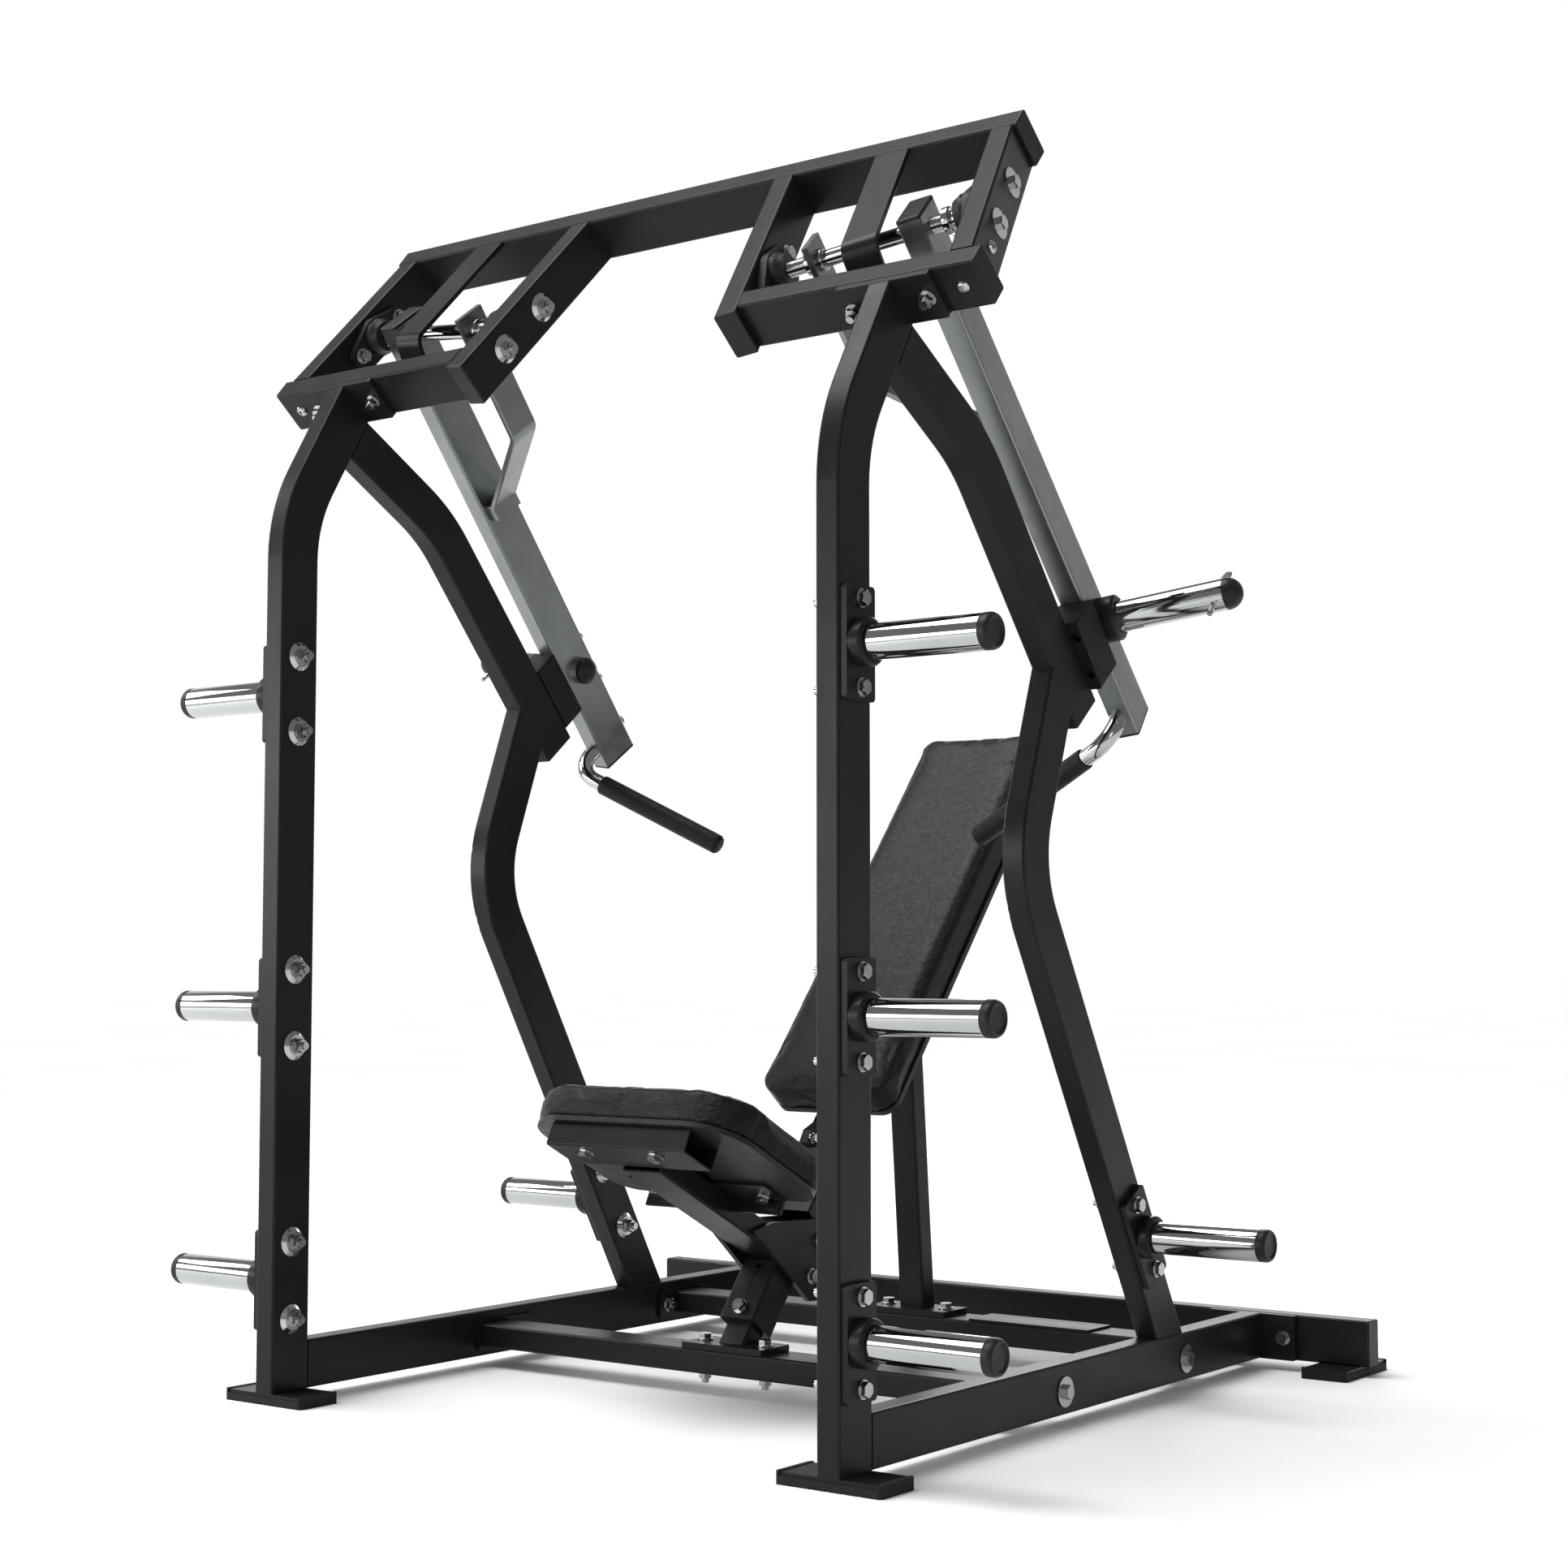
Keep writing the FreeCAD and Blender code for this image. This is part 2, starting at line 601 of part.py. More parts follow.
def pad(wire, thickness, edge_radius):
    """Cushion: outline extruded, with the face edge rounded."""
    solid = Part.Face(wire).extrude(vec(0, 0, thickness))
    edges = []
    for edge in solid.Edges:
        if abs(edge.BoundBox.ZMin - thickness) < 0.01 and abs(edge.BoundBox.ZMax - thickness) < 0.01:
            edges.append(edge)
    return solid.makeFillet(edge_radius, edges)


def make_seat():
    cushion = pad(soft_outline(SEAT_HALF, 0, SEAT_LENGTH, 92, 60), SEAT_THICK, PAD_EDGE)
    board = Part.Face(soft_outline(SEAT_HALF - 12, 12, SEAT_LENGTH - 12, 80, 48))
    board = board.extrude(vec(0, 0, -8.0))
    return placed(cushion, seat_frame), placed(board, seat_frame)


def make_back():
    cushion = pad(soft_outline(BACK_HALF, 0, BACK_LENGTH, 40, 32), BACK_THICK, PAD_EDGE)
    cushion.translate(vec(0, 0, -BACK_THICK))
    board = Part.Face(soft_outline(BACK_HALF - 12, 12, BACK_LENGTH - 12, 30, 30))
    board = board.extrude(vec(0, 0, -10.0))
    board.translate(vec(0, 0, -BACK_THICK))
    return placed(cushion, back_frame), placed(board, back_frame)


def make_seat_cross():
    start = seat_frame.multVec(vec(-135, 57.5, -27))
    end = seat_frame.multVec(vec(135, 57.5, -27))
    front = tube([start, end], seat_up)
    shelf = box(-135, 135, 225, 288, -13.9, -8)
    lip = box(-135, 135, 283, 288, -36, -8)
    notch = box(-38.2, 38.2, 280, 290, -40, -13.9)
    return [front, placed(shelf.fuse(lip.cut(notch)), seat_frame)]


def make_seat_long():
    start = seat_frame.multVec(vec(0, 97, -33))
    end = seat_frame.multVec(vec(0, 450, -33))
    return tube([start, end], seat_up)


def on_post(x, depth, along):
    return post_origin + X * x + post_back * depth + post_up * along


def make_seat_post():
    """Slanted post inside the sleeve, cut level on its base plate."""
    bottom = on_post(0, 31.5, -70)
    top = on_post(0, 31.5, 130)
    shape = tube([bottom, top], X, width=50.0, depth=38.0)
    return trimmed(shape, vec(0, 0, 82.0), Z * -1)


def make_seat_sleeve():
    """Clamp sleeve around the post, reaching up to the long tube."""
    sleeve_frame = frame(post_origin, X, post_back)
    body = rounded_box(-33.3, 33.3, 0, 60, 0, 108, 3.0, Z)
    head = box(-38, 38, 10, 60, 108, 260)
    cavity = box(-25.3, 25.3, 12.2, 50.8, -5, 135)
    slit = box(-0.8, 0.8, -1, 13, 45, 100)
    eye = rod(vec(0, -1, 97), Y, 5.0, 14.0)
    shape = body.fuse(head).cut(cavity).cut(slit).cut(eye)
    shape = placed(shape, sleeve_frame)
    under = seat_frame.multVec(vec(0, 0, -52))
    return trimmed(shape, under, seat_up)


def make_gussets():
    outline = [(494, 262), (543, 271), (690, 266), (735, 205), (661, 135), (641, 136)]
    plate = prism([vec(38.0, y, z) for y, z in outline], vec(9.0, 0, 0))
    return both_sides([plate])


def make_back_post():
    bottom = vec(0, 1034, 40)
    top = vec(0, 977, 740)
    shape = tube([bottom, top], X, width=50.0, depth=38.0)
    shape = trimmed(shape, vec(0, 0, 82), Z * -1)
    under = back_frame.multVec(vec(0, 0, -BACK_THICK - 10 - TUBE_WIDE))
    return trimmed(shape, under, back_front)


def make_back_rail():
    """Tube from between the gussets up under the back cushion, and the small lug welded to it."""
    under_board = -BACK_THICK - 10
    middle = under_board - TUBE_WIDE / 2
    start = back_frame.multVec(vec(0, -185, middle))
    end = back_frame.multVec(vec(0, 560, middle))
    rail = tube([start, end], back_front)
    lug = prism([vec(-8, y, z) for y, z in LUG_OUTLINE], vec(16, 0, 0))
    below_rail_face = placed(box(-60, 60, -300, 600, -400, under_board), back_frame)
    cushion_space = placed(box(-60, 60, -1, 600, under_board - 1, 100), back_frame)
    return [rail, lug.cut(below_rail_face).cut(cushion_space)]


# ---------------------------------------------------------------- assembly
def build_frame(bolts):
    add_pair("upright", make_upright())
    add_pair("upper_rear_leg", make_upper_leg())
    add_pair("lower_rear_leg", make_lower_leg())
    add_pair("side_rail", make_side_rail())
    nodes["rear_base_tube"] = make_base_tube()
    nodes["front_cross_tube"] = make_cross_tube(504.0)
    nodes["middle_cross_tube"] = make_cross_tube(1030.0)
    plates = []
    for y0, y1, bolt_y in ((460.0, 602.0, 580.0), (946.0, 1074.0, 967.0)):
        plate, fixing = cross_end_plate(y0, y1, bolt_y)
        plates += both_sides([plate])
        bolts += both_sides([fixing])
    for maker in (rear_flange, head_flange):
        plate, fixings = maker()
        plates += both_sides([plate])
        bolts += both_sides(fixings)
    for y in (504.0, 1030.0):
        plate, fixings = post_plate(y)
        plates.append(plate)
        bolts += fixings
    add("joint_plates", plates)
    cover = rounded_box(130.0, 365.0, 992.0, 1068.0, 72.0, 76.0, 1.5, Z)
    cover = cover.cut(box(120, 400, 1004, 1006, 75, 80)).cut(box(120, 400, 1054, 1056, 75, 80))
    nodes["cover_plate"] = cover


def build_feet():
    pads = []
    plates = []
    for x, y, turned_round in ((SIDE_X, 38.0, False), (695.0, 1270.0, True)):
        pad_shape, plate = foot(x, y, turned_round)
        pads += both_sides([pad_shape])
        plates += both_sides([plate])
    add("rubber_feet", pads)
    add("foot_plates", plates)


def build_box(bolts, cups, small_screws):
    nodes["top_beam"] = make_top_beam()
    add_pair("box_rails", Part.makeCompound([make_rail(0.0, None), make_rail(OUTER_RAIL_A, TUBE_WIDE)]))
    add("box_front_tubes", both_sides([make_box_front_tube()]))
    add("guard_straps", both_sides([make_guard_strap()]))
    add("stop_blocks", both_sides([make_stop_block()]))
    housings = [bearing_housing(TUBE_WIDE, 1), bearing_housing(OUTER_RAIL_A, -1)]
    add("bearing_housings", both_sides(housings))
    for side in (-1, 1):
        t = SHAFT_T + side * 52.0
        inner_seat = on_rail(TUBE_WIDE + 13.0, SHAFT_N, t)
        bolts += both_sides([bolt(inner_seat, shaft_dir, 13.0 + TUBE_WIDE + 7.0, tail=4.0)])
        cups += both_sides([dished_washer(on_rail(0, SHAFT_N, t), shaft_dir * -1)])
        outer_seat = on_rail(OUTER_RAIL_A + TUBE_WIDE, SHAFT_N, t)
        bolts += both_sides([bolt(outer_seat, shaft_dir, 13.0 + TUBE_WIDE, washer=22.5, tail=4.0)])
    small_screws += both_sides([button_screw(in_box(655.0, 38.0, 0), box_up * -1, 14.0)])
    outer_face = on_rail(OUTER_RAIL_A + TUBE_WIDE, 40.0, 16.0)
    small_screws += both_sides([button_screw(outer_face, shaft_dir, 14.0)])


def build_caps():
    caps = [
        end_cap(in_box(684.0, 38.0, 19.0), X, box_up),
        end_cap(in_box(621.0, 38.0, 361.0), X, box_up),
        end_cap(on_rail(TUBE_WIDE / 2, 38.0, -14.0), rail_dir * -1, shaft_dir),
        end_cap(vec(BASE_HALF, BASE_FRONT + 19.0, 55.0), X, Y),
        end_cap(UPPER_LEG_CORNER + UPPER_LEG_DROP * UPPER_LEG_DROP_LENGTH, UPPER_LEG_DROP, X),
    ]
    add("frame_end_caps", both_sides(caps))


def build_horns(bolts, cups):
    leg_middle = LOWER_LEG_CORNER + LOWER_LEG_FOOT_DIR * 657.0
    places = [(38.0, 1113.0, Z), (38.0, 615.0, Z), (38.0, 189.0, Z)]
    places.append((leg_middle.y, leg_middle.z, LOWER_LEG_FOOT_DIR * -1))
    groups = {"horn_brackets": [], "horn_collars": [], "storage_horns": [], "horn_end_caps": []}
    for y, z, up_dir in places:
        parts, horn_bolts, horn_cups = horn_set(y, z, up_dir)
        for name, shape in zip(groups, parts):
            groups[name] += both_sides([shape])
        bolts += both_sides(horn_bolts)
        cups += both_sides(horn_cups)
    for name, shapes in groups.items():
        add(name, shapes)


def build_bench(bolts):
    nodes["seat_pad"], seat_board = make_seat()
    nodes["back_pad"], back_board = make_back()
    add("pad_boards", [seat_board, back_board])
    add("seat_cross_members", make_seat_cross())
    nodes["seat_long_tube"] = make_seat_long()
    nodes["seat_post"] = make_seat_post()
    nodes["seat_sleeve"] = make_seat_sleeve()
    add("seat_gussets", make_gussets())
    nodes["back_post"] = make_back_post()
    add("back_rail", make_back_rail())
    bolts.append(screw(on_post(0, 0, 20), post_back * -1, 12.2))
    bolts.append(screw(vec(8, 702, 395), X, 16.0, flats=13.0, radius=4.0))
    for side in (-1, 1):
        bolts.append(screw(seat_frame.multVec(vec(side * 68.0, 40.0, -46)), seat_up * -1, 44.0))
        bolts.append(screw(seat_frame.multVec(vec(side * 106.0, 268, -13.9)), seat_up * -1, 12.0))
        for y, z in ((645.0, 176.0), (668.0, 232.0)):
            bolts.append(screw(vec(side * 47.0, y, z), X * side, 9.0))


def build_arm():
    sets = {
        "arm_tube": make_arm_tube(),
        "arm_brace": make_brace(),
        "pivot_shaft": make_shaft(),
        "weight_sleeve": make_sleeve(),
        "sleeve_collar": make_sleeve_collar(),
        "lock_pin": make_lock_pin(),
    }
    sets["handle_bar"], sets["handle_grip"] = make_handle()
    arm_middle = (ARM_IN + ARM_OUT) / 2
    domes = [
        dome(on_arm(SLEEVE_END, SLEEVE_OFFSET, SLEEVE_AT), shaft_dir, 25.0, 25.0),
        dome(on_arm(262, SLEEVE_OFFSET, SLEEVE_AT), shaft_dir * -1, 24.0, 16.0),
        end_cap(on_arm(arm_middle, 0, ARM_TOP), arm_down * -1, shaft_dir),
        end_cap(on_arm(arm_middle, 0, ARM_END), arm_down, shaft_dir),
    ]
    sets["arm_caps"] = Part.makeCompound(domes)
    rear_screws = [
        screw(on_arm(arm_middle, -38, 645), arm_front * -1, 8.0, flats=13.0, radius=4.0),
        screw(on_arm(arm_middle, -38, 735), arm_front * -1, 8.0, flats=13.0, radius=4.0),
        screw(on_arm(arm_middle, -38, 834), arm_front * -1, 74.0),
    ]
    sets["arm_screws"] = Part.makeCompound(rear_screws)
    for name, shape in sets.items():
        add_pair(name, shape)


def drill_holes():
    """Cut every fastener's clearance hole through the parts it passes."""
    skipped = ("frame_bolts", "frame_screws", "dished_washers", "seat_pad", "arm_screws_R", "arm_screws_L")
    all_drills = both_sides(drills)
    for name, shape in nodes.items():
        if name in skipped:
            continue
        hits = [drill for drill in all_drills if drill.BoundBox.intersect(shape.BoundBox)]
        if hits:
            nodes[name] = shape.cut(Part.makeCompound(hits))


def write_nodes():
    for name, shape in nodes.items():
        shape.translate(vec(0, -DEPTH_CENTRE, 0))
        shape.exportStep("parts/" + name + ".step")


frame_bolts = []
dished_washers = []
frame_screws = []
build_frame(frame_bolts)
build_feet()
build_box(frame_bolts, dished_washers, frame_screws)
build_caps()
build_horns(frame_bolts, dished_washers)
build_bench(frame_screws)
build_arm()
add("frame_bolts", frame_bolts)
add("frame_screws", frame_screws)
add("dished_washers", dished_washers)
drill_holes()
write_nodes()
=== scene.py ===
import json
import math

import bmesh
import bpy
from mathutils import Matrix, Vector


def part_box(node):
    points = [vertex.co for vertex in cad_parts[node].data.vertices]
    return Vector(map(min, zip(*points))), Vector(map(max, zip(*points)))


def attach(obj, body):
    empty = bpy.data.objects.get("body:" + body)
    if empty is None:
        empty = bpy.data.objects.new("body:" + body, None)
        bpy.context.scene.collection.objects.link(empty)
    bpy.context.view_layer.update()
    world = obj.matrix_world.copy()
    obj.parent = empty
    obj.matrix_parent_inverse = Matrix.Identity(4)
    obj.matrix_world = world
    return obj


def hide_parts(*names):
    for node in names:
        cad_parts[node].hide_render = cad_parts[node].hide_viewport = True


# Looks for the press machine.  Metres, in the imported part's own frame: the origin is on the
# floor under the middle, +Z up, the uprights at the front (-Y).

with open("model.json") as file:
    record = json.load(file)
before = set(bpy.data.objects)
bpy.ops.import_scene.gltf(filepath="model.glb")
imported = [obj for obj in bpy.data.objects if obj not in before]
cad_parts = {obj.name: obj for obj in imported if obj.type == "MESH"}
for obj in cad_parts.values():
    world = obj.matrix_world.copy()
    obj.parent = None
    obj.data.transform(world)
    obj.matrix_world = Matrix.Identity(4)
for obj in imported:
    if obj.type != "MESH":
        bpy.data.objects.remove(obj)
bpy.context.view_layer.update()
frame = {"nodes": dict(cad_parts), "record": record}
nodes = frame["nodes"]

MM = 0.001
DEPTH_CENTRE = 676.5
SIDES = (("R", 1), ("L", -1))
SEGMENTS = 72


# ---------------------------------------------------------------- materials
def new_material(name):
    material = bpy.data.materials.new(name)
    material.use_nodes = True
    tree = material.node_tree
    return material, tree, tree.nodes["Principled BSDF"]


def object_coordinates(tree):
    return tree.nodes.new("ShaderNodeTexCoord").outputs["Object"]


def noise(tree, scale, detail=4.0, roughness=0.55):
    texture = tree.nodes.new("ShaderNodeTexNoise")
    texture.inputs["Scale"].default_value = scale
    texture.inputs["Detail"].default_value = detail
    texture.inputs["Roughness"].default_value = roughness
    tree.links.new(object_coordinates(tree), texture.inputs["Vector"])
    return texture.outputs["Fac"]


def voronoi(tree, scale, feature="F1"):
    texture = tree.nodes.new("ShaderNodeTexVoronoi")
    texture.feature = feature
    texture.inputs["Scale"].default_value = scale
    tree.links.new(object_coordinates(tree), texture.inputs["Vector"])
    return texture


def ramp(tree, value, low, high):
    """Map 0..1 noise to a value range."""
    node = tree.nodes.new("ShaderNodeMapRange")
    node.inputs["From Min"].default_value = 0.3
    node.inputs["From Max"].default_value = 0.7
    node.inputs["To Min"].default_value = low
    node.inputs["To Max"].default_value = high
    tree.links.new(value, node.inputs["Value"])
    return node.outputs["Result"]


def mixed_colour(tree, value, dark, light):
    node = tree.nodes.new("ShaderNodeValToRGB")
    node.color_ramp.elements[0].position = 0.3
    node.color_ramp.elements[0].color = (*dark, 1)
    node.color_ramp.elements[1].position = 0.7
    node.color_ramp.elements[1].color = (*light, 1)
    tree.links.new(value, node.inputs["Fac"])
    return node.outputs["Color"]


def bump(tree, height, strength, distance, normal=None):
    node = tree.nodes.new("ShaderNodeBump")
    node.inputs["Strength"].default_value = strength
    node.inputs["Distance"].default_value = distance
    tree.links.new(height, node.inputs["Height"])
    if normal is not None:
        tree.links.new(normal, node.inputs["Normal"])
    return node.outputs["Normal"]


def painted(name, dark, light, rough_low, rough_high, grain=900.0, strength=0.06):
    """Powder coat: faint orange peel, slow drift in tone and gloss."""
    material, tree, shader = new_material(name)
    drift = noise(tree, 3.0)
    tree.links.new(mixed_colour(tree, drift, dark, light), shader.inputs["Base Color"])
    tree.links.new(ramp(tree, noise(tree, 14.0), rough_low, rough_high), shader.inputs["Roughness"])
    peel = bump(tree, noise(tree, grain, 2.0), strength, 0.0004)
    tree.links.new(peel, shader.inputs["Normal"])
    shader.inputs["Specular IOR Level"].default_value = 0.15
    return material


def metal(name, dark, light, rough_low, rough_high, scratch=0.03):
    material, tree, shader = new_material(name)
    shader.inputs["Metallic"].default_value = 1.0
    tree.links.new(mixed_colour(tree, noise(tree, 9.0), dark, light), shader.inputs["Base Color"])
    tree.links.new(ramp(tree, noise(tree, 40.0), rough_low, rough_high), shader.inputs["Roughness"])
    fine = bump(tree, noise(tree, 1500.0, 2.0), scratch, 0.0002)
    tree.links.new(fine, shader.inputs["Normal"])
    return material


def moulded(name, dark, light, rough_low, rough_high, grain, strength):
    """Black rubber or plastic with a moulded grain."""
    material, tree, shader = new_material(name)
    tree.links.new(mixed_colour(tree, noise(tree, 12.0), dark, light), shader.inputs["Base Color"])
    tree.links.new(ramp(tree, noise(tree, 60.0), rough_low, rough_high), shader.inputs["Roughness"])
    shader.inputs["Specular IOR Level"].default_value = 0.2
    cells = voronoi(tree, grain)
    tree.links.new(bump(tree, cells.outputs["Distance"], strength, 0.0006), shader.inputs["Normal"])
    return material


def side_mask(tree):
    """Zero on faces that look up or down, one on upright faces.

    The seat's top gets none of it, and the leaning back pad's front falls in between.
    """
    geometry = tree.nodes.new("ShaderNodeNewGeometry")
    split = tree.nodes.new("ShaderNodeSeparateXYZ")
    tree.links.new(geometry.outputs["Normal"], split.inputs["Vector"])
    mask = tree.nodes.new("ShaderNodeMapRange")
    mask.interpolation_type = "SMOOTHSTEP"
    mask.inputs["From Min"].default_value = 0.75
    mask.inputs["From Max"].default_value = 0.5
    size = tree.nodes.new("ShaderNodeMath")
    size.operation = "ABSOLUTE"
    tree.links.new(split.outputs["Z"], size.inputs[0])
    tree.links.new(size.outputs["Value"], mask.inputs["Value"])
    return mask.outputs["Result"]


def make_leather():
    """Black upholstery leather: pebble grain under long, shallow, irregular creases."""
    material, tree, shader = new_material("black_leather")
    colour = mixed_colour(tree, noise(tree, 25.0), (0.0055, 0.0062, 0.0059), (0.0085, 0.0093, 0.0090))
    tree.links.new(colour, shader.inputs["Base Color"])
    tree.links.new(ramp(tree, noise(tree, 90.0), 0.34, 0.48), shader.inputs["Roughness"])
    shader.inputs["Specular IOR Level"].default_value = 0.16
    stretch = tree.nodes.new("ShaderNodeMapping")
    stretch.inputs["Scale"].default_value = (0.75, 1.1, 1.9)
    tree.links.new(object_coordinates(tree), stretch.inputs["Vector"])
    warp_noise = tree.nodes.new("ShaderNodeTexNoise")
    warp_noise.inputs["Scale"].default_value = 75.0
    tree.links.new(stretch.outputs["Vector"], warp_noise.inputs["Vector"])
    warp = tree.nodes.new("ShaderNodeVectorMath")
    warp.operation = "MULTIPLY_ADD"
    warp.inputs[1].default_value = (0.016, 0.016, 0.016)
    tree.links.new(warp_noise.outputs["Color"], warp.inputs[0])
    tree.links.new(stretch.outputs["Vector"], warp.inputs[2])
    creases = voronoi(tree, 120.0, "DISTANCE_TO_EDGE")
    tree.links.new(warp.outputs["Vector"], creases.inputs["Vector"])
    line = tree.nodes.new("ShaderNodeMapRange")
    line.interpolation_type = "SMOOTHSTEP"
    line.inputs["From Min"].default_value = 0.0
    line.inputs["From Max"].default_value = 0.16
    tree.links.new(creases.outputs["Distance"], line.inputs["Value"])
    pebbles = voronoi(tree, 430.0)
    tree.links.new(warp.outputs["Vector"], pebbles.inputs["Vector"])
    grain = bump(tree, pebbles.outputs["Distance"], 0.06, 0.0004)
    soft = bump(tree, noise(tree, 16.0), 0.15, 0.003, grain)
    sides = side_mask(tree)
    strength = tree.nodes.new("ShaderNodeMapRange")
    strength.inputs["To Min"].default_value = 0.03
    strength.inputs["To Max"].default_value = 0.5
    tree.links.new(sides, strength.inputs["Value"])
    normal_node = tree.nodes.new("ShaderNodeBump")
    normal_node.inputs["Distance"].default_value = 0.001
    tree.links.new(strength.outputs["Result"], normal_node.inputs["Strength"])
    tree.links.new(line.outputs["Result"], normal_node.inputs["Height"])
    tree.links.new(soft, normal_node.inputs["Normal"])
    tree.links.new(normal_node.outputs["Normal"], shader.inputs["Normal"])
    return material


materials = {
    "frame_paint": painted("frame_paint", (0.0080, 0.0090, 0.0086), (0.0110, 0.0122, 0.0117),
                           0.28, 0.36),
    "arm_silver": metal("arm_silver", (0.185, 0.2, 0.193), (0.23, 0.247, 0.238), 0.28, 0.38, 0.05),
    "chrome": metal("chrome", (0.40, 0.415, 0.42), (0.46, 0.475, 0.48), 0.03, 0.07),
    "zinc_steel": metal("zinc_steel", (0.36, 0.37, 0.36), (0.48, 0.49, 0.48), 0.12, 0.22, 0.08),
    "black_rubber": moulded("black_rubber", (0.006, 0.006, 0.006), (0.009, 0.009, 0.009),
                            0.5, 0.66, 900.0, 0.12),
    "black_plastic": moulded("black_plastic", (0.01, 0.01, 0.01), (0.015, 0.015, 0.015),
                             0.34, 0.46, 1400.0, 0.10),
    "board_plastic": moulded("board_plastic", (0.016, 0.017, 0.016), (0.024, 0.025, 0.024),
                             0.3, 0.42, 1100.0, 0.12),
    "cast_black": moulded("cast_black", (0.011, 0.012, 0.0115), (0.018, 0.019, 0.0185),
                          0.36, 0.5, 1000.0, 0.35),
    "black_leather": make_leather(),
}

slots = {}
for subpart in frame["record"]["subparts"]:
    slots[subpart["node"]] = subpart["material_slot"]


def finish_nodes():
    for name, shape in nodes.items():
        shape.data.materials.clear()
        shape.data.materials.append(materials[slots[name]])


# ---------------------------------------------------------------- reference frames, millimetres
BOX_TILT = math.radians(50.0)
RAIL_LEAN = math.radians(10.0)
X_AXIS = Vector((1.0, 0.0, 0.0))
box_up = Vector((0.0, math.cos(BOX_TILT), math.sin(BOX_TILT)))
box_back = Vector((0.0, math.sin(BOX_TILT), -math.cos(BOX_TILT)))
rail_dir = X_AXIS * -math.sin(RAIL_LEAN) + box_up * math.cos(RAIL_LEAN)
shaft_dir = box_back.cross(rail_dir)
rail_origin = Vector((248.7, 130.9 - DEPTH_CENTRE, 1634.0))
shaft_point = rail_origin + rail_dir * 124.0 + box_back * 39.0
arm_down = Vector((0.03015, 0.64448, -0.76402)).normalized()
arm_front = arm_down.cross(shaft_dir).normalized()


def arm_vector(a, front, along):
    return shaft_dir * a + arm_front * front + arm_down * along


def on_arm(a, front, along):
    return shaft_point + arm_vector(a, front, along)


# ---------------------------------------------------------------- mesh building
def rounded(outline, radius, steps=4):
    """Closed (radius, height) outline with every corner away from the axis rounded."""
    result = []
    for index, point in enumerate(outline):
        corner = Vector(point)
        if corner.x < 0.001:
            result.append(corner)
            continue
        before = Vector(outline[index - 1]) - corner
        after = Vector(outline[(index + 1) % len(outline)]) - corner
        first = corner + before.normalized() * min(radius, before.length * 0.45)
        last = corner + after.normalized() * min(radius, after.length * 0.45)
        for step in range(steps + 1):
            t = step / steps
            result.append(first * (1 - t) ** 2 + corner * (2 * t * (1 - t)) + last * t ** 2)
    return result


def add_rings(shape, rings, closed):
    """Join rings of points with quads; closed also joins the last ring to the first."""
    rows = [[shape.verts.new(point) for point in ring] for ring in rings]
    pairs = list(zip(rows, rows[1:]))
    if closed:
        pairs.append((rows[-1], rows[0]))
    for low, high in pairs:
        for index in range(len(low)):
            following = (index + 1) % len(low)
            shape.faces.new((low[index], low[following], high[following], high[index]))
    return rows


def add_turned(shape, outline, origin, axis):
    """Turn a closed (radius, height) outline about the axis through the origin."""
    turn = axis.to_track_quat("Z", "X")
    rings = []
    for radius, height in outline:
        ring = []
        for index in range(SEGMENTS):
            angle = 2 * math.pi * index / SEGMENTS
            local = Vector((radius * math.cos(angle), radius * math.sin(angle), height))
            ring.append(origin + turn @ local)
        rings.append(ring)
    add_rings(shape, rings, True)


def add_thread(shape, radius, pitch, low, high, origin, axis):
    """Helical thread: a skin whose radius follows the turning height."""
    turn = axis.to_track_quat("Z", "X")
    steps = int((high - low) / pitch * 8)
    rings = []
    for row in range(steps + 1):
        height = low + (high - low) * row / steps
        ring = []
        for index in range(SEGMENTS):
            share = index / SEGMENTS
            ridge = abs(2 * ((height / pitch - share) % 1.0) - 1)
            r = radius - 0.32 * pitch * (1 - ridge)
            local = Vector((r * math.cos(2 * math.pi * share), r * math.sin(2 * math.pi * share), height))
            ring.append(origin + turn @ local)
        rings.append(ring)
    add_rings(shape, rings, False)


def add_sweep(shape, path, radius, side):
    """Round bar along a flat path; side is square to the plane of the path."""
    rings = []
    for index, point in enumerate(path):
        before = path[max(index - 1, 0)]
        after = path[min(index + 1, len(path) - 1)]
        along = (after - before).normalized()
        up = side.cross(along).normalized()
        ring = []
        for step in range(SEGMENTS):
            angle = 2 * math.pi * step / SEGMENTS
            ring.append(point + side * (radius * math.cos(angle)) + up * (radius * math.sin(angle)))
        rings.append(ring)
    rows = add_rings(shape, rings, False)
    shape.faces.new(rows[0])
    shape.faces.new(rows[-1])


def add_plug(shape, centre, axis, across, width, depth, thick):
    """Moulded rectangular tube plug with a crowned, rounded face."""
    normal = axis.cross(across)
    rings = []
    for inset, height in ((0.0, 0.0), (0.0, thick * 0.55), (0.5, thick * 0.85), (1.6, thick), (7.0, thick)):
        ring = []
        corner = max(4.0 - inset, 1.0)
        for su, sv in ((1, 1), (-1, 1), (-1, -1), (1, -1)):
            for step in range(7):
                angle = math.radians(15 * step) + math.atan2(sv, su) - math.radians(45)
                u = su * (width / 2 - inset - corner) + corner * math.cos(angle)
                v = sv * (depth / 2 - inset - corner) + corner * math.sin(angle)
                ring.append(centre + across * u + normal * v + axis * height)
        rings.append(ring)
    rows = add_rings(shape, rings, False)
    shape.faces.new(rows[-1])
    shape.faces.new(rows[0])


